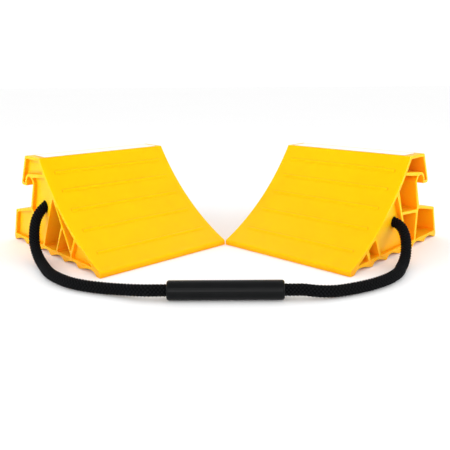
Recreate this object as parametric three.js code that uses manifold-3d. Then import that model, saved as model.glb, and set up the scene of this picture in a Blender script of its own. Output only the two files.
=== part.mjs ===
// A pair of hollow moulded wheel chocks joined by a braided rope with a carrying grip.
// Millimetres, +Z up, +X to the right. The chocks stand toe to toe and the grip lies in front, at -Y.
// The origin is on the ground, in the middle of the footprint of the chocks and the grip.

import * as THREE from 'three';
import { mergeVertices } from 'three/addons/utils/BufferGeometryUtils.js';
import Module from 'manifold-3d';

const wasm = await Module();
wasm.setup();

// ---- Driving dimensions ----

const CHOCK_WIDTH = 180;
const CHOCK_HEIGHT = 117;
const DRAFT = 1.5; // each end stands this much further out at the ground than at the top
const CHOCK_BACK = 221; // places along a chock are measured back from just ahead of its nose
const NOSE = { front: 0.8, height: 6.3, rounding: 3.2, land: 9 };
const TYRE_RADIUS = 300; // the hollow front face fits a tyre of this radius
const TYRE_CENTRE = [-123.2, 279.2]; // its centre, back and up

const FRONT_WALL = 4.5;
const WALL = 3.4;
const BASE_TOP = 8.5;

const TOOTH_PITCH = 34.2;
const TOOTH_COUNT = 6;
const FIRST_TOOTH = 48.8;
const TOOTH_LAND = 2.5;
const ARCH_HEIGHT = 5.2;

const RIDGE_STEP = 20;
const RIDGE_COUNT = 5;
const RIDGE_MARGIN = 13.5;

const LEFT_RECESS = 4; // the end walls of the rear and toe cells lie this far inside the left end
const RIGHT_RECESS = 5; // the end wall of the front cells lies this far inside the right end
const END_WALL = 3;

const PLAN_ANGLE = 43; // degrees that each chock is turned from square
const TOE_GAP = 1.2; // from the middle of the pair to each inner toe corner
const TOE_Y = 15.5;

const LABEL = { width: 163, depth: 27, thick: 0.5, front: 130.5, lift: 0.3, corner: 1.5 };

const ROPE_RADIUS = 5.9;
const ROPE_SIDES = 10;
const ROPE_HOLE_RADIUS = 6.8;
const KNOT = { radius: 9.5, neck: 7, length: 20, tailLength: 12 };

const GRIP = { length: 114, radius: 9.8, bore: 6.4, rounding: 2.2 };
const GRIP_Y = -167.4;
const ROPE_BEND_X = 75; // the rope is straight up to here, and bends freely beyond
const GAP = 0.3;

// The rope's routes. Each starts at the knot behind a chock's outer end wall and runs down to the ground,
// as places out from that end, back from the toe and up.
const ROUTE_AT_CHOCK = {
  left: [
    [-9.6, 131.4, 60.6],
    [-5.6, 130.6, 59.1],
    [-1, 129.4, 57],
    [4.8, 127, 53.6],
    [11.2, 123.4, 48.2],
    [16.8, 118.7, 40.9],
    [21.2, 113.1, 32.5],
    [24.8, 106.4, 22.9],
    [27.7, 96.8, 14.8],
    [30.4, 84.5, 9.2],
    [33, 71, 6.5],
  ],
  right: [
    [-9.2, 106.2, 40.9],
    [-4.8, 105.9, 40.5],
    [0.4, 104.9, 39.5],
    [5.6, 102.9, 37.8],
    [10.8, 99.4, 35],
    [16, 94.4, 30.6],
    [21, 88, 24.6],
    [25.4, 80.2, 17.8],
    [29, 71.4, 12],
    [32.1, 61.2, 7.8],
    [35.2, 49.4, 6.1],
  ],
};
// Then it runs along the ground to the grip, in the pair's own frame.
const ROUTE_TO_GRIP = {
  left: [
    [-190, -104.5, 6],
    [-177, -119.8, 6],
    [-160, -134.3, 6],
    [-141, -144.2, 6],
    [-121.3, -151.2, 6.2],
    [-104, -157.2, 7.1],
    [-89.5, -163.2, 8.6],
    [-ROPE_BEND_X, GRIP_Y, GRIP.radius],
  ],
  right: [
    [185.4, -109, 6],
    [170.5, -127, 6],
    [150.4, -142.6, 6],
    [129, -154.2, 6],
    [108.5, -162.4, 6.3],
    [91, -166.8, 7.9],
    [ROPE_BEND_X, GRIP_Y, GRIP.radius],
  ],
};

// ---- Materials ----

const yellowPlastic = new THREE.MeshStandardMaterial({ color: 0xfcc80a, roughness: 0.42, metalness: 0 });
const whiteLabel = new THREE.MeshStandardMaterial({ color: 0xeeeef4, roughness: 0.5, metalness: 0 });
const blackRope = new THREE.MeshStandardMaterial({ color: 0x0c0b0c, roughness: 0.85, metalness: 0 });
const blackGrip = new THREE.MeshStandardMaterial({ color: 0x16181a, roughness: 0.4, metalness: 0 });

// ---- Solids: closed geometries to manifold and back ----

function solid(geometry) {
  const bare = geometry.clone();
  bare.deleteAttribute('normal');
  bare.deleteAttribute('uv');
  const merged = mergeVertices(bare, 1e-4);
  const vertProperties = Float32Array.from(merged.attributes.position.array);
  const triVerts = Uint32Array.from(merged.index.array);
  return new wasm.Manifold(new wasm.Mesh({ numProp: 3, vertProperties, triVerts }));
}

function geometryOf(manifold) {
  const mesh = manifold.getMesh();
  const geometry = new THREE.BufferGeometry();
  geometry.setAttribute('position', new THREE.BufferAttribute(Float32Array.from(mesh.vertProperties), 3));
  geometry.setIndex(new THREE.BufferAttribute(Uint32Array.from(mesh.triVerts), 1));
  geometry.computeVertexNormals();
  return geometry;
}

function named(name, geometry, material) {
  const mesh = new THREE.Mesh(geometry, material);
  mesh.name = name;
  return mesh;
}

// ---- Outlines: points are [back, up], in the plane of a chock's end ----

function arc(centre, radius, fromDegrees, toDegrees, steps) {
  const points = [];
  for (let i = 0; i <= steps; i += 1) {
    const angle = THREE.MathUtils.degToRad(fromDegrees + ((toDegrees - fromDegrees) * i) / steps);
    points.push([centre[0] + radius * Math.cos(angle), centre[1] + radius * Math.sin(angle)]);
  }
  return points;
}

// Rounds the corners that carry a radius as their third number.
function rounded(corners) {
  const points = [];
  corners.forEach(([x, y, radius = 0], i) => {
    if (radius === 0) {
      points.push([x, y]);
      return;
    }
    const corner = new THREE.Vector2(x, y);
    const before = new THREE.Vector2(...corners.at(i - 1)).sub(corner).normalize();
    const after = new THREE.Vector2(...corners[(i + 1) % corners.length]).sub(corner).normalize();
    const reach = radius / Math.tan(before.angleTo(after) / 2);
    const start = corner.clone().addScaledVector(before, reach);
    const end = corner.clone().addScaledVector(after, reach);
    const curve = new THREE.QuadraticBezierCurve(start, corner, end);
    curve.getPoints(4).forEach((point) => points.push([point.x, point.y]));
  });
  return points;
}

// A prism of an outline, across the chock from one x to another.
function prism(outline, fromX, toX) {
  const shape = new THREE.Shape(outline.map(([back, up]) => new THREE.Vector2(back, up)));
  const geometry = new THREE.ExtrudeGeometry(shape, { depth: toX - fromX, bevelEnabled: false });
  const back = new THREE.Vector3(0, 1, 0);
  const up = new THREE.Vector3(0, 0, 1);
  const across = new THREE.Vector3(1, 0, 0);
  geometry.applyMatrix4(new THREE.Matrix4().makeBasis(back, up, across));
  geometry.translate(fromX, 0, 0);
  return solid(geometry);
}

function faceBack(height, offset = 0) {
  const radius = TYRE_RADIUS + offset;
  return TYRE_CENTRE[0] + Math.sqrt(radius ** 2 - (height - TYRE_CENTRE[1]) ** 2);
}

// Points down the front face, or down the inner side of the front wall.
function frontCurve(fromHeight, toHeight, steps, offset = 0) {
  const points = [];
  for (let i = 0; i <= steps; i += 1) {
    const height = fromHeight + ((toHeight - fromHeight) * i) / steps;
    points.push([faceBack(height, offset), height]);
  }
  return points;
}

// The toothed sole: a flat land under the nose, then steep behind each land and sloping gently to the next.
function sole() {
  const points = [[NOSE.land, 0]];
  const steps = 7;
  for (let tooth = 0; tooth < TOOTH_COUNT; tooth += 1) {
    const start = points.at(-1)[0];
    const tip = FIRST_TOOTH + tooth * TOOTH_PITCH;
    const span = tip - TOOTH_LAND - start;
    for (let i = 1; i <= steps; i += 1) {
      const share = i / steps;
      points.push([start + span * share, ARCH_HEIGHT * Math.max(0, Math.sin(Math.PI * share ** 0.62))]);
    }
    points.push([tip, 0]);
  }
  return points;
}

// ---- The chock's section ----

const HOOK = { centre: [160.8, 82], inner: 9.2, lip: 79 };
HOOK.outer = HOOK.inner + WALL - 0.2;

// Inner ribs, each from its top to its foot on the base, along its middle.
const REAR_BRACE = { top: [103, 74], lean: 0.48, half: 1.77 };
const FRONT_BRACE = { top: [99, 72], lean: -0.5787, half: 1.62 };
const CROSS_BRACE = { top: [83.2, 42], lean: 0.517, half: 1.6 };
const TOE_BRACE = { top: [55, 31], lean: 0.511, half: 1.6 };

// A point on one side of a rib, at a height: side is -1 in front and +1 behind.
function onRib(rib, height, side) {
  return [rib.top[0] + (rib.top[1] - height) * rib.lean + side * rib.half, height];
}

function outerSection() {
  return rounded([
    ...sole(),
    [CHOCK_BACK, 4],
    [208.5, 42.5, 2.5],
    [162.8, 51.6, 1.5],
    ...arc(HOOK.centre, HOOK.inner, 180, 0, 10),
    [HOOK.centre[0] + HOOK.inner, HOOK.lip, 1],
    [184.6, HOOK.lip, 3.5],
    [167.5, CHOCK_HEIGHT, 4],
    [faceBack(CHOCK_HEIGHT), CHOCK_HEIGHT],
    ...frontCurve(CHOCK_HEIGHT - 2, NOSE.height + 3, 26),
    [NOSE.front, NOSE.height, NOSE.rounding],
    [NOSE.front, 0, 1],
  ]);
}

const hookCell = rounded([
  [faceBack(98.6, FRONT_WALL), 98.6],
  ...arc(HOOK.centre, HOOK.outer, 90, 0, 6),
  [HOOK.centre[0] + HOOK.outer, 82.3],
  [180.1, 82.3, 1.5],
  [165.4, 113.4, 2.5],
  [faceBack(113.4, FRONT_WALL), 113.4, 2],
  ...frontCurve(108, 101, 2, FRONT_WALL),
]);

const middleCell = rounded([
  [...onRib(REAR_BRACE, 51.2, 1), 2],
  [157.8, 47.8, 2.5],
  ...arc(HOOK.centre, HOOK.outer, 180, 135, 4),
  [faceBack(95.2, FRONT_WALL), 95.2, 2.5],
  ...frontCurve(90, 78, 3, FRONT_WALL),
]);

const lowerCell = rounded([
  [...onRib(REAR_BRACE, BASE_TOP, 1), 2],
  [154.6, BASE_TOP, 2],
  [155.3, 44.2, 2.5],
  [...onRib(REAR_BRACE, 47.6, 1), 2],
]);

const footCell = rounded([
  [158.6, BASE_TOP, 2],
  [215.7, BASE_TOP, 2],
  [206, 39.4, 2.5],
  [160.8, 48.4, 3],
]);

const braceCell = rounded([
  [...onRib(CROSS_BRACE, BASE_TOP, 1), 2],
  [...onRib(REAR_BRACE, BASE_TOP, -1), 2],
  [101.4, 73, 1.5],
  [84.1, 43.4, 1.5],
]);

const crossCell = rounded([
  [...onRib(FRONT_BRACE, BASE_TOP + 3, 1), 0],
  [68, BASE_TOP],
  [...onRib(CROSS_BRACE, BASE_TOP, -1), 2],
  [82.4, 40.5, 1.5],
]);

const narrowCell = rounded([
  [64.6, 15.4, 1.5],
  [93, 64.4],
  ...frontCurve(63, 36, 6, FRONT_WALL),
  [55.6, 33],
]);

const toeCell = rounded([
  [44.2, BASE_TOP, 1.5],
  [...onRib(TOE_BRACE, BASE_TOP, -1), 2],
  [53.3, 30],
  ...frontCurve(28, 21.5, 2, FRONT_WALL),
]);

const noseCell = rounded([
  [faceBack(BASE_TOP + 1, FRONT_WALL), BASE_TOP],
  [40.4, BASE_TOP, 1.5],
  [34.6, 18.2],
  ...frontCurve(17, 11, 2, FRONT_WALL),
]);

// The recess outside the middle and lower cells' end wall, where the shelf between them stops short of it.
const rearPocket = rounded([
  [...onRib(REAR_BRACE, BASE_TOP, 1), 2],
  [154.6, BASE_TOP, 2],
  [155.5, 46.8],
  [159.2, 51.4, 1.5],
  ...arc(HOOK.centre, HOOK.outer, 180, 135, 4),
  [faceBack(95.2, FRONT_WALL), 95.2, 2.5],
  ...frontCurve(90, 78, 3, FRONT_WALL),
]);

// The recess outside the toe cells' end wall, where the rib between them stops short of it.
const toePocket = rounded([
  [faceBack(BASE_TOP + 1, FRONT_WALL), BASE_TOP],
  [...onRib(TOE_BRACE, BASE_TOP, -1), 2],
  [53.3, 30],
  ...frontCurve(28, 11, 5, FRONT_WALL),
]);

// The recess outside the front cells' end wall, where the braces stop short of it.
const frontPocket = rounded([
  [...onRib(TOE_BRACE, BASE_TOP, 1), 2],
  [...onRib(REAR_BRACE, BASE_TOP, -1), 2],
  [101.4, 73, 1.5],
  ...frontCurve(70, 36, 7, FRONT_WALL),
  [55.6, 33],
]);

// ---- One chock: x across from its middle, y back from its toe, z up ----

const LEFT_END = -CHOCK_WIDTH / 2;
const RIGHT_END = CHOCK_WIDTH / 2;
const OVERRUN = 1;

// A low rounded ridge across the front face, with its crest towards its upper side.
function ridge(height) {
  const foot = new THREE.Vector2(faceBack(height), height);
  const outward = new THREE.Vector2(...TYRE_CENTRE).sub(foot).normalize();
  const upward = new THREE.Vector2(outward.y, -outward.x);
  const at = (along, out) => {
    const point = foot.clone().addScaledVector(upward, along).addScaledVector(outward, out);
    return [point.x, point.y];
  };
  const outline = [at(-2.7, 0), at(-1.4, 0.65), at(0, 1.05), at(0.9, 1), at(1.6, 0.6), at(1.9, 0)];
  return prism([...outline, at(1.9, -0.5), at(-2.7, -0.5)], LEFT_END + RIDGE_MARGIN, RIGHT_END - RIDGE_MARGIN);
}

function circleShape(radius, sides) {
  const points = [];
  for (let i = 0; i < sides; i += 1) {
    const angle = (2 * Math.PI * (i + 0.5)) / sides;
    points.push(new THREE.Vector2(radius * Math.cos(angle), radius * Math.sin(angle)));
  }
  return new THREE.Shape(points);
}

function tube(points, radius, sides, steps) {
  const extrudePath = new THREE.CatmullRomCurve3(points.map((point) => new THREE.Vector3(...point)));
  return new THREE.ExtrudeGeometry(circleShape(radius, sides), { steps, extrudePath });
}

// The cutter of a rope hole through an end wall. It follows the rope.
function ropeHole(side) {
  const outward = side === 'left' ? -1 : 1;
  const start = ROUTE_AT_CHOCK[side].slice(0, 6);
  const route = start.map(([out, back, up]) => [outward * (CHOCK_WIDTH / 2 + out), back, up]);
  const inward = [route[0][0] - outward * 3, route[0][1], route[0][2]];
  return solid(tube([inward, ...route], ROPE_HOLE_RADIUS, 24, 16));
}

function chockSolid() {
  let chock = prism(outerSection(), LEFT_END, RIGHT_END);
  for (let i = 1; i <= RIDGE_COUNT; i += 1) {
    chock = chock.add(ridge(i * RIDGE_STEP));
  }
  const leftWall = LEFT_END + LEFT_RECESS;
  const rightWall = RIGHT_END - RIGHT_RECESS;
  for (const pocket of [hookCell, rearPocket, footCell, toePocket]) {
    chock = chock.subtract(prism(pocket, LEFT_END - OVERRUN, leftWall));
  }
  for (const cell of [hookCell, middleCell, lowerCell, footCell, toeCell, noseCell]) {
    chock = chock.subtract(prism(cell, leftWall + END_WALL, RIGHT_END + OVERRUN));
  }
  for (const cell of [braceCell, crossCell, narrowCell]) {
    chock = chock.subtract(prism(cell, LEFT_END - OVERRUN, rightWall - END_WALL));
  }
  chock = chock.subtract(prism(frontPocket, rightWall, RIGHT_END + OVERRUN));
  const drafted = chock.warp((place) => {
    place[0] *= 1 + (DRAFT / RIGHT_END) * (1 - place[2] / CHOCK_HEIGHT);
  });
  return drafted.subtract(ropeHole('left')).subtract(ropeHole('right'));
}

// A blank label along the top, flush with the front edge.
function labelGeometry() {
  const half = LABEL.width / 2;
  const corners = [
    [-half, LABEL.front, LABEL.corner],
    [half, LABEL.front, LABEL.corner],
    [half, LABEL.front + LABEL.depth, LABEL.corner],
    [-half, LABEL.front + LABEL.depth, LABEL.corner],
  ];
  const shape = new THREE.Shape(rounded(corners).map(([x, y]) => new THREE.Vector2(x, y)));
  const geometry = new THREE.ExtrudeGeometry(shape, { depth: LABEL.thick, bevelEnabled: false });
  return geometry.translate(0, 0, CHOCK_HEIGHT + LABEL.lift);
}

// ---- The rope, its knots and the grip ----

// A place near a chock's outer end, in the pair's own frame.
function fromEnd(side, [out, back, up]) {
  const turn = side === 'left' ? 1 : -1;
  const angle = THREE.MathUtils.degToRad(PLAN_ANGLE) * turn;
  const place = new THREE.Vector2(-turn * (CHOCK_WIDTH + out), back).rotateAround(new THREE.Vector2(), angle);
  return [place.x - turn * TOE_GAP, place.y + TOE_Y, up];
}

function ropeRoute(side) {
  return [...ROUTE_AT_CHOCK[side].map((place) => fromEnd(side, place)), ...ROUTE_TO_GRIP[side]];
}

// One side's rope. It ends in a ball at the grip, so that it can swing there.
function ropeMesh(side) {
  const route = ropeRoute(side);
  const ball = new THREE.SphereGeometry(ROPE_RADIUS, 16, 12).translate(...route.at(-1));
  const rope = solid(tube(route, ROPE_RADIUS, ROPE_SIDES, 36)).add(solid(ball));
  return named(`${side}_rope`, geometryOf(rope), blackRope);
}

// A round knot with the rope's tail behind it, square to the end wall that the rope comes through.
function knotMesh(side) {
  const { radius, neck, length, tailLength } = KNOT;
  const profile = [
    [0, 0],
    [neck, 0],
    [radius - 0.8, 4],
    [radius, length / 2],
    [radius - 0.8, length - 4],
    [neck, length],
    [ROPE_RADIUS, length],
    [ROPE_RADIUS, length + tailLength],
    [0, length + tailLength],
  ];
  const knot = new THREE.LatheGeometry(profile.map((point) => new THREE.Vector2(...point)), 16);
  const mesh = named(`${side}_knot`, knot, blackRope);
  const [start, next] = ropeRoute(side).map((point) => new THREE.Vector3(...point));
  const end = new THREE.Vector3(...fromEnd(side, [0, 0, 0]));
  const inward = new THREE.Vector3(...fromEnd(side, [-1, 0, 0])).sub(end);
  const leaning = ROPE_RADIUS * Math.sin(start.clone().sub(next).angleTo(inward));
  mesh.position.copy(start).addScaledVector(inward, GAP + leaning);
  mesh.quaternion.setFromUnitVectors(new THREE.Vector3(0, 1, 0), inward);
  return mesh;
}

function middleRope() {
  const length = 2 * (ROPE_BEND_X - ROPE_RADIUS - GAP);
  const rope = new THREE.CylinderGeometry(ROPE_RADIUS, ROPE_RADIUS, length, 16);
  rope.rotateZ(Math.PI / 2);
  const mesh = named('middle_rope', rope, blackRope);
  mesh.position.set(0, GRIP_Y, GRIP.radius);
  return mesh;
}

// A sleeve with rounded ends, free to slide and turn on the rope.
function carryingGrip() {
  const { length, radius, bore, rounding } = GRIP;
  const end = length / 2;
  const profile = [
    [bore, -end + 0.8],
    [bore + 0.8, -end],
    ...arc([radius - rounding, -end + rounding], rounding, -90, 0, 4),
    ...arc([radius - rounding, end - rounding], rounding, 0, 90, 4),
    [bore + 0.8, end],
    [bore, end - 0.8],
    [bore, -end + 0.8],
  ];
  const sleeve = new THREE.LatheGeometry(profile.map(([x, y]) => new THREE.Vector2(x, y)), 32);
  sleeve.rotateZ(-Math.PI / 2);
  const mesh = named('carrying_grip', sleeve, blackGrip);
  mesh.position.set(0, GRIP_Y, GRIP.radius);
  return mesh;
}

// ---- The pair ----

const chockGeometry = geometryOf(chockSolid());

function placedChock(side) {
  const turn = side === 'left' ? 1 : -1;
  const group = new THREE.Group();
  const angle = THREE.MathUtils.degToRad(PLAN_ANGLE) * turn;
  const corner = new THREE.Vector2(turn * RIGHT_END, 0).rotateAround(new THREE.Vector2(), angle);
  group.position.set(-turn * TOE_GAP - corner.x, TOE_Y - corner.y, 0);
  group.rotation.z = angle;
  group.add(named(`${side}_chock`, chockGeometry, yellowPlastic));
  group.add(named(`${side}_label`, labelGeometry(), whiteLabel));
  return group;
}

const pair = new THREE.Group();
for (const side of ['left', 'right']) {
  pair.add(placedChock(side));
  pair.add(ropeMesh(side));
  pair.add(knotMesh(side));
}
pair.add(middleRope());
pair.add(carryingGrip());

export default pair;
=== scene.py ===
# The looks of a pair of yellow plastic wheel chocks on a braided black rope with a carrying grip. Metres, +Z up.

import math

import bpy
import numpy as np
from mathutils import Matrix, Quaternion, Vector


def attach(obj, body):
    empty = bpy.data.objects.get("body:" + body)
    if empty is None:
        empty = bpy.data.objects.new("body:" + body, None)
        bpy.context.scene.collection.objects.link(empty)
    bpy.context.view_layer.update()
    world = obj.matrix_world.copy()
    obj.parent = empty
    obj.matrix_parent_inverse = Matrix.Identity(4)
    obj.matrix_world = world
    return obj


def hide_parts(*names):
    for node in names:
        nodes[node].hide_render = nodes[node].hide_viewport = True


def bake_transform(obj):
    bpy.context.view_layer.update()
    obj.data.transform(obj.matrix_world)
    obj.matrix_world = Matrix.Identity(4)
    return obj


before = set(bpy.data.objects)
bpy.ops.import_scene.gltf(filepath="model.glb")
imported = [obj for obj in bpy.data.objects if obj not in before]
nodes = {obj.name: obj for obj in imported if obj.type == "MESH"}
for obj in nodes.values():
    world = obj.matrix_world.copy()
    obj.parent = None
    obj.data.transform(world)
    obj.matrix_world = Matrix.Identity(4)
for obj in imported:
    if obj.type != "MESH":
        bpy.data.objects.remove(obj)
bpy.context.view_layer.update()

# ---- Camera ----

camera_data = bpy.data.cameras.new("camera")
camera_data.sensor_width = 36
camera_data.lens = 44.45
camera_data.dof.use_dof = False
camera = bpy.data.objects.new("camera", camera_data)
camera.location = (-0.0002, -0.6712, 0.2079)
camera.rotation_mode = "QUATERNION"
tilt = Quaternion((1, 0, 0), math.radians(90 - 14.79))
camera.rotation_quaternion = tilt @ Quaternion((0, 0, 1), math.radians(-0.32))
bpy.context.collection.objects.link(camera)
bpy.context.scene.camera = camera

# ---- Sizes ----

ROPE_RADIUS = 0.0059
PLAN_ANGLE = math.radians(43)
TOE_GAP = 0.0012
TOE_Y = 0.0155
CHOCK_WIDTH = 0.180
GRIP_Y = -0.1674
GRIP_Z = 0.0098
BEND_X = 0.075

# The rope from the knot behind each chock's outer end wall: out from that end, back from the toe and up.
ROUTE_AT_CHOCK = {
    "left": [
        (-0.0096, 0.1314, 0.0606),
        (-0.0056, 0.1306, 0.0591),
        (-0.001, 0.1294, 0.057),
        (0.0048, 0.127, 0.0536),
        (0.0112, 0.1234, 0.0482),
        (0.0168, 0.1187, 0.0409),
        (0.0212, 0.1131, 0.0325),
        (0.0248, 0.1064, 0.0229),
        (0.0277, 0.0968, 0.0148),
        (0.0304, 0.0845, 0.0092),
        (0.033, 0.071, 0.0065),
    ],
    "right": [
        (-0.0092, 0.1062, 0.0409),
        (-0.0048, 0.1059, 0.0405),
        (0.0004, 0.1049, 0.0395),
        (0.0056, 0.1029, 0.0378),
        (0.0108, 0.0994, 0.035),
        (0.016, 0.0944, 0.0306),
        (0.021, 0.088, 0.0246),
        (0.0254, 0.0802, 0.0178),
        (0.029, 0.0714, 0.012),
        (0.0321, 0.0612, 0.0078),
        (0.0352, 0.0494, 0.0061),
    ],
}
# Then along the ground and into the grip.
ROUTE_TO_GRIP = {
    "left": [
        (-0.19, -0.1045, 0.006),
        (-0.177, -0.1198, 0.006),
        (-0.16, -0.1343, 0.006),
        (-0.141, -0.1442, 0.006),
        (-0.1213, -0.1512, 0.0062),
        (-0.104, -0.1572, 0.0071),
        (-0.0895, -0.1632, 0.0086),
        (-BEND_X, GRIP_Y, GRIP_Z),
        (-0.07, GRIP_Y, GRIP_Z),
        (-0.04, GRIP_Y, GRIP_Z),
        (-0.0001, GRIP_Y, GRIP_Z),
    ],
    "right": [
        (0.1854, -0.109, 0.006),
        (0.1705, -0.127, 0.006),
        (0.1504, -0.1426, 0.006),
        (0.129, -0.1542, 0.006),
        (0.1085, -0.1624, 0.0063),
        (0.091, -0.1668, 0.0079),
        (BEND_X, GRIP_Y, GRIP_Z),
        (0.07, GRIP_Y, GRIP_Z),
        (0.04, GRIP_Y, GRIP_Z),
        (0.0001, GRIP_Y, GRIP_Z),
    ],
}


def from_end(side, out, back, up):
    """A place near a chock's outer end, in the frame."""
    turn = 1 if side == "left" else -1
    cos, sin = math.cos(PLAN_ANGLE), math.sin(PLAN_ANGLE) * turn
    across = -turn * (CHOCK_WIDTH + out)
    return (across * cos - back * sin - turn * TOE_GAP, across * sin + back * cos + TOE_Y, up)


def route(side):
    return [from_end(side, *place) for place in ROUTE_AT_CHOCK[side]] + ROUTE_TO_GRIP[side]


def smooth_line(points, spacing):
    """Evenly spaced points on a centripetal Catmull-Rom curve through the given points."""
    given = np.array(points, float)
    padded = np.vstack([2 * given[0] - given[1], given, 2 * given[-1] - given[-2]])
    fine = []
    for before, start, end, after in zip(padded, padded[1:], padded[2:], padded[3:]):
        t0, t1, t2 = (np.linalg.norm(b - a) ** 0.5 for a, b in ((before, start), (start, end), (end, after)))
        leave = end - start + t1 * ((start - before) / t0 - (end - before) / (t0 + t1))
        arrive = end - start + t1 * ((after - end) / t2 - (after - start) / (t1 + t2))
        for t in np.linspace(0, 1, 60, endpoint=False):
            fine.append(
                (2 * t**3 - 3 * t**2 + 1) * start
                + (t**3 - 2 * t**2 + t) * leave
                + (3 * t**2 - 2 * t**3) * end
                + (t**3 - t**2) * arrive
            )
    fine.append(given[-1])
    fine = np.array(fine)
    along = np.concatenate([[0], np.cumsum(np.linalg.norm(np.diff(fine, axis=0), axis=1))])
    even = np.linspace(0, along[-1], int(round(along[-1] / spacing)) + 1)
    line = np.stack([np.interp(even, along, fine[:, i]) for i in range(3)], axis=1)
    return line, even


def frames_along(line):
    """Two unit vectors across the line at each point, carried along it without twisting."""
    tangent = np.gradient(line, axis=0)
    tangent /= np.linalg.norm(tangent, axis=1)[:, None]
    first = np.cross(tangent[0], (0.0, 0.0, 1.0))
    first /= np.linalg.norm(first)
    one = [first]
    for t in tangent[1:]:
        carried = one[-1] - t * (one[-1] @ t)
        one.append(carried / np.linalg.norm(carried))
    one = np.array(one)
    return tangent, one, np.cross(tangent, one)


def braid_height(along, around, carriers=8, pitch=0.0038):
    """Height, from 0 to 1, of a round braid whose strands cross over and under each other."""
    turns = around / (2 * math.pi) * carriers
    one = turns + along / pitch
    other = turns - along / pitch
    ridge_one = np.abs(np.sin(np.pi * one)) ** 0.6
    ridge_other = np.abs(np.sin(np.pi * other)) ** 0.6
    weave = 0.5 + 0.5 * np.cos(np.pi * (np.floor(one) + np.floor(other)))
    lift_one = ridge_one * (0.35 + 0.65 * weave * ridge_other)
    lift_other = ridge_other * (0.35 + 0.65 * (1 - weave) * ridge_one)
    return np.maximum(lift_one * (0.35 + 0.65 * weave), lift_other * (1 - 0.65 * weave))


def tube(name, line, along, radius, relief, sides=72, taper=None):
    """A braided tube round a line, closed by a low melted cone at each end."""
    tangent, one, two = frames_along(line)
    around, up_to = np.meshgrid(np.linspace(0, 2 * math.pi, sides, endpoint=False), along)
    height = braid_height(up_to, around)
    scale = np.ones(len(line)) if taper is None else taper
    reach = ((radius - relief * (1 - height)) * scale[:, None])[..., None]
    across = np.cos(around)[..., None] * one[:, None, :] + np.sin(around)[..., None] * two[:, None, :]
    verts = (line[:, None, :] + reach * across).reshape(-1, 3).tolist()

    # The strands' own map runs along the tube in one direction and around it in the other.
    faces, strands = [], []
    for ring in range(len(line) - 1):
        start, end = along[ring] * 100, along[ring + 1] * 100
        for side in range(sides):
            near, far = ring * sides + side, ring * sides + (side + 1) % sides
            faces.append((near, far, far + sides, near + sides))
            left, right = side / sides, (side + 1) / sides
            strands += [(start, left), (start, right), (end, right), (end, left)]
    last = len(line) - 1
    for ring, outward in ((0, -0.0012), (last, 0.0012)):
        tip = len(verts)
        verts.append((line[ring] + tangent[ring] * outward * scale[ring]).tolist())
        for side in range(sides):
            corners = (ring * sides + side, ring * sides + (side + 1) % sides, tip)
            faces.append(corners if ring else corners[::-1])
            strands += [(along[ring] * 100, side / sides)] * 3

    mesh = bpy.data.meshes.new(name)
    mesh.from_pydata(verts, [], faces)
    mesh.uv_layers.new(name="strands").data.foreach_set("uv", np.array(strands).ravel())
    braid_height_shade = mesh.attributes.new("braid_height_shade", "FLOAT", "POINT")
    braid_height_shade.data.foreach_set("value", np.concatenate([height.ravel(), [0.3, 0.3]]))
    mesh.polygons.foreach_set("use_smooth", [True] * len(mesh.polygons))
    mesh.update()
    made = bpy.data.objects.new(name, mesh)
    bpy.context.collection.objects.link(made)
    return made


# ---- Materials ----


class Nodes:
    """Short calls for building one material's nodes."""

    def __init__(self, name):
        self.material = bpy.data.materials.new(name)
        self.material.use_nodes = True
        self.tree = self.material.node_tree
        self.shader = self.tree.nodes["Principled BSDF"]

    def add(self, kind, **settings):
        node = self.tree.nodes.new(kind)
        inputs = settings.pop("inputs", {})
        for key, value in settings.items():
            setattr(node, key, value)
        for key, value in inputs.items():
            if isinstance(value, bpy.types.NodeSocket):
                self.tree.links.new(value, node.inputs[key])
            else:
                node.inputs[key].default_value = value
        return node

    def noise(self, vector, scale, detail=3.0, roughness=0.5):
        inputs = {"Vector": vector, "Scale": scale, "Detail": detail, "Roughness": roughness}
        return self.add("ShaderNodeTexNoise", inputs=inputs).outputs["Fac"]

    def remap(self, value, low, high, to_low=0.0, to_high=1.0):
        inputs = {"Value": value, "From Min": low, "From Max": high, "To Min": to_low, "To Max": to_high}
        return self.add("ShaderNodeMapRange", inputs=inputs).outputs["Result"]

    def mix(self, factor, one, two, blend="MIX"):
        node = self.add("ShaderNodeMix", data_type="RGBA", blend_type=blend)
        for socket, value in ((node.inputs[0], factor), (node.inputs[6], one), (node.inputs[7], two)):
            if isinstance(value, bpy.types.NodeSocket):
                self.tree.links.new(value, socket)
            else:
                socket.default_value = value
        return node.outputs[2]

    def maths(self, operation, one, two=0.0):
        return self.add("ShaderNodeMath", operation=operation, inputs={0: one, 1: two}).outputs[0]

    def bump(self, height, strength, distance, normal=None):
        inputs = {"Height": height, "Strength": strength, "Distance": distance}
        if normal is not None:
            inputs["Normal"] = normal
        return self.add("ShaderNodeBump", inputs=inputs).outputs["Normal"]

    def set(self, **values):
        for key, value in values.items():
            socket = self.shader.inputs[key.replace("_", " ")]
            if isinstance(value, bpy.types.NodeSocket):
                self.tree.links.new(value, socket)
            else:
                socket.default_value = value


def srgb(red, green, blue):
    """A linear colour from 0 to 255 display values."""
    linear = []
    for value in (red, green, blue):
        v = value / 255
        linear.append(v / 12.92 if v <= 0.04045 else ((v + 0.055) / 1.055) ** 2.4)
    return (*linear, 1.0)


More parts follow.
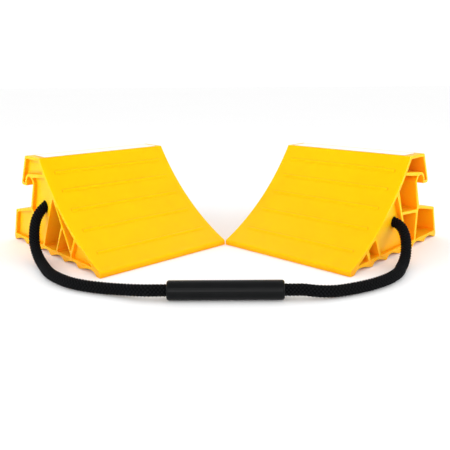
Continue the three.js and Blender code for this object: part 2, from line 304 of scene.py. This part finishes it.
def chock_material():
    m = Nodes("moulded_yellow_plastic")
    place = m.add("ShaderNodeTexCoord").outputs["Object"]
    edge_normal = m.add("ShaderNodeBevel", samples=6, inputs={"Radius": 0.0004}).outputs["Normal"]
    true_normal = m.add("ShaderNodeNewGeometry").outputs["Normal"]
    facing = m.add("ShaderNodeVectorMath", operation="DOT_PRODUCT", inputs={0: edge_normal, 1: true_normal})
    edge_highlight_and_wear = m.remap(facing.outputs["Value"], 0.995, 0.8)
    broad = m.noise(place, 9.0, 3.0, 0.55)
    flow = m.noise(place, 55.0, 5.0, 0.6)
    grain = m.noise(place, 900.0, 4.0, 0.6)
    # Painted shade: the colour turns deeper orange where the plastic is hollowed in, in place of light glowing
    # through and bouncing inside.
    hollow_occlusion = m.add("ShaderNodeAmbientOcclusion", samples=6, inputs={"Distance": 0.045}).outputs["AO"]
    painted_hollow_shade = m.remap(hollow_occlusion, 0.9, 0.4, 0.0, 0.85)
    # Painted shade: darker orange in the tight creases at the feet of the ridges.
    crease_occlusion = m.add("ShaderNodeAmbientOcclusion", samples=8, inputs={"Distance": 0.005}).outputs["AO"]
    painted_crease_shade = m.remap(crease_occlusion, 0.97, 0.7, 0.0, 0.8)
    colour = m.mix(m.remap(broad, 0.3, 0.7), srgb(253, 190, 2), srgb(252, 185, 1))
    colour = m.mix(m.remap(flow, 0.35, 0.75, 0.0, 0.25), colour, srgb(255, 199, 4))
    colour = m.mix(painted_hollow_shade, colour, srgb(255, 165, 26))
    colour = m.mix(painted_crease_shade, colour, srgb(246, 160, 4))
    # Lighter along the edges and ridge crests: painted highlight, with some edge wear.
    colour = m.mix(m.maths("MULTIPLY", edge_highlight_and_wear, 0.5), colour, srgb(255, 214, 22))
    scuff = m.noise(place, 240.0, 6.0, 0.7)
    rough = m.remap(flow, 0.3, 0.7, 0.36, 0.5)
    rough = m.maths("ADD", rough, m.remap(scuff, 0.6, 0.8, 0.0, 0.12))
    normal = m.bump(flow, 0.10, 0.0006, edge_normal)
    normal = m.bump(grain, 0.16, 0.0001, normal)
    m.set(Base_Color=colour, Roughness=rough, Normal=normal, IOR=1.49)
    m.shader.inputs["Specular IOR Level"].default_value = 0.2
    m.shader.inputs["Specular Tint"].default_value = (1.0, 0.68, 0.02, 1.0)
    m.shader.inputs["Subsurface Weight"].default_value = 0.7
    m.shader.inputs["Subsurface Radius"].default_value = (1.0, 0.35, 0.03)
    m.shader.inputs["Subsurface Scale"].default_value = 0.007
    return m.material


def label_material():
    m = Nodes("blank_white_label")
    place = m.add("ShaderNodeTexCoord").outputs["Object"]
    fibre = m.noise(place, 700.0, 4.0, 0.6)
    cloud = m.noise(place, 22.0, 3.0, 0.5)
    colour = m.mix(m.remap(cloud, 0.3, 0.7), srgb(253, 251, 240), srgb(246, 243, 230))
    colour = m.mix(m.remap(fibre, 0.45, 0.8, 0.0, 0.3), colour, srgb(236, 233, 222))
    normal = m.bump(cloud, 0.2, 0.0006)
    normal = m.bump(fibre, 0.15, 0.00005, normal)
    m.set(Base_Color=colour, Roughness=m.remap(fibre, 0.3, 0.7, 0.3, 0.42), Normal=normal)
    return m.material


def rope_material():
    m = Nodes("black_braided_rope")
    strands = m.add("ShaderNodeUVMap", uv_map="strands").outputs["UV"]
    place = m.add("ShaderNodeTexCoord").outputs["Object"]
    braid_height_shade = m.add("ShaderNodeAttribute", attribute_name="braid_height_shade").outputs["Fac"]
    stretch = m.add("ShaderNodeMapping", inputs={"Vector": strands, "Scale": (3.0, 60.0, 1.0)}).outputs["Vector"]
    fibre = m.noise(stretch, 9.0, 4.0, 0.65)
    fuzz = m.noise(place, 2600.0, 3.0, 0.6)
    dust = m.noise(place, 120.0, 4.0, 0.6)
    # Painted shade in the braid's grooves and painted highlight on its crowns, from the strands' height.
    colour = m.mix(m.remap(braid_height_shade, 0.4, 0.85), srgb(0, 0, 0), srgb(19, 20, 22))
    colour = m.mix(m.remap(fibre, 0.45, 0.8, 0.0, 0.5), colour, srgb(6, 6, 7))
    colour = m.mix(m.remap(dust, 0.6, 0.85, 0.0, 0.25), colour, srgb(24, 23, 25))
    normal = m.bump(fibre, 0.45, 0.0003)
    normal = m.bump(fuzz, 0.25, 0.0001, normal)
    m.set(Base_Color=colour, Roughness=m.remap(fibre, 0.3, 0.7, 0.5, 0.72), Normal=normal)
    m.shader.inputs["Specular IOR Level"].default_value = 0.05
    return m.material


def grip_material():
    m = Nodes("satin_black_grip")
    place = m.add("ShaderNodeTexCoord").outputs["Object"]
    drawn = m.add("ShaderNodeMapping", inputs={"Vector": place, "Scale": (0.06, 1.0, 1.0)}).outputs["Vector"]
    lines = m.noise(drawn, 900.0, 3.0, 0.6)
    grain = m.noise(place, 1500.0, 3.0, 0.5)
    smudge = m.noise(place, 45.0, 4.0, 0.6)
    colour = m.mix(m.remap(smudge, 0.3, 0.7), srgb(4, 5, 6), srgb(9, 10, 11))
    colour = m.mix(m.remap(lines, 0.55, 0.8, 0.0, 0.35), colour, srgb(17, 18, 20))
    normal = m.bump(lines, 0.12, 0.0002)
    normal = m.bump(grain, 0.1, 0.00006, normal)
    m.set(Base_Color=colour, Roughness=m.remap(smudge, 0.3, 0.7, 0.26, 0.4), Normal=normal)
    m.shader.inputs["Specular IOR Level"].default_value = 0.12
    return m.material


def wear(thing, material):
    thing.data.materials.clear()
    thing.data.materials.append(material)


yellow = chock_material()
white = label_material()
black = rope_material()
satin = grip_material()

# ---- Rope ----

rope_lines = {}
for side in ("left", "right"):
    line, along = smooth_line(route(side), 0.0004)
    rope_lines[side] = line
    rope = tube(f"{side}_braided_rope", line, along, ROPE_RADIUS + 0.0004, 0.0018)
    wear(rope, black)
    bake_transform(rope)
    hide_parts(f"{side}_rope", "middle_rope")

# ---- Knots ----


def knot_line(start, inward):
    """The wrapped strand of a tight stopper knot, from the mouth to the tail."""
    side = inward.cross(Vector((0, 0, 1))).normalized()
    up = side.cross(inward).normalized()
    turns, first, last, wrap = 2.25, 0.0042, 0.0158, 0.0062
    points = []
    for share in np.linspace(0, 1, 28):
        angle = 2 * math.pi * turns * share
        depth = first + (last - first) * share
        reach = wrap * min(1, share * 9 + 0.2, (1 - share) * 9 + 0.2)
        offset = side * math.cos(angle) * reach + up * math.sin(angle) * reach
        points.append(start + inward * depth + offset)
    return points


for side in ("left", "right"):
    start, next_point = (Vector(rope_lines[side][i]) for i in (0, 6))
    inward = (Vector(from_end(side, -0.001, 0, 0)) - Vector(from_end(side, 0, 0, 0))).normalized()
    leaning = ROPE_RADIUS * math.sin(inward.angle(start - next_point))
    mouth = start + inward * (0.0003 + leaning)
    core = [mouth + inward * depth for depth in (0.0012, 0.006, 0.012, 0.018, 0.024, 0.0308)]
    core_line, core_along = smooth_line([tuple(point) for point in core], 0.0004)
    swell = np.interp(core_along, (0, 0.003, 0.017, 0.021), (1, 0.72, 0.72, 1))
    knot = tube(f"{side}_stopper_knot", core_line, core_along, ROPE_RADIUS, 0.0011, taper=swell)
    wrap_line, wrap_along = smooth_line([tuple(point) for point in knot_line(mouth, inward)], 0.0004)
    wrap = tube("wrap", wrap_line, wrap_along, 0.0036, 0.0006, sides=56)
    with bpy.context.temp_override(active_object=knot, selected_editable_objects=[knot, wrap]):
        bpy.ops.object.join()
    wear(knot, black)
    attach(knot, f"{side}_side")
    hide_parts(f"{side}_knot")

# ---- Chocks and labels: the CAD shapes with their finish ----

for side in ("left", "right"):
    wear(nodes[f"{side}_chock"], yellow)
    wear(nodes[f"{side}_label"], white)
wear(nodes["carrying_grip"], satin)

# ---- Floor and lights ----


def floor_material():
    m = Nodes("pale_floor")
    place = m.add("ShaderNodeTexCoord").outputs["Object"]
    cloud = m.noise(place, 2.0, 2.0, 0.5)
    m.set(Base_Color=m.mix(cloud, (0.975, 0.975, 0.975, 1), (0.985, 0.985, 0.985, 1)), Roughness=0.9)
    m.shader.inputs["Specular IOR Level"].default_value = 0.1
    return m.material


def floor_sheet(half):
    """A wide plain sheet just under the object."""
    corners = [(-half, -half), (half, -half), (half, half), (-half, half)]
    mesh = bpy.data.meshes.new("floor")
    mesh.from_pydata([(x, y, -0.0003) for x, y in corners], [], [(0, 1, 2, 3)])
    made = bpy.data.objects.new("floor", mesh)
    bpy.context.collection.objects.link(made)
    return made


floor = floor_sheet(14.0)
wear(floor, floor_material())


def soft_light(name, place, aim, size, watts):
    data = bpy.data.lights.new(name, "AREA")
    data.shape = "RECTANGLE"
    data.size, data.size_y = size
    data.energy = watts
    light = bpy.data.objects.new(name, data)
    light.location = place
    light.rotation_mode = "QUATERNION"
    light.rotation_quaternion = (Vector(aim) - Vector(place)).to_track_quat("-Z", "Y")
    bpy.context.collection.objects.link(light)


soft_light("key", (-0.2, -1.5, 0.5), (0, 0, 0.06), (1.2, 0.7), 7)
soft_light("left", (-1.2, -0.5, 0.4), (-0.2, 0, 0.05), (0.8, 0.6), 3.4)
soft_light("right", (1.2, -0.5, 0.4), (0.2, 0, 0.05), (0.8, 0.6), 3.8)


def studio_world():
    """A white surround: bright round the sides and dimmer overhead."""
    world = bpy.data.worlds.new("studio")
    world.use_nodes = True
    tree = world.node_tree
    direction = tree.nodes.new("ShaderNodeTexCoord").outputs["Generated"]
    split = tree.nodes.new("ShaderNodeSeparateXYZ")
    tree.links.new(direction, split.inputs[0])
    fall = tree.nodes.new("ShaderNodeMapRange")
    tree.links.new(split.outputs["Z"], fall.inputs["Value"])
    for key, value in {"From Min": 0.2, "From Max": 0.95, "To Min": 1.2, "To Max": 0.88}.items():
        fall.inputs[key].default_value = value
    background = tree.nodes["Background"]
    background.inputs["Color"].default_value = (1, 1, 1, 1)
    tree.links.new(fall.outputs["Result"], background.inputs["Strength"])
    return world


bpy.context.scene.world = studio_world()
bpy.context.scene.view_settings.view_transform = "Standard"
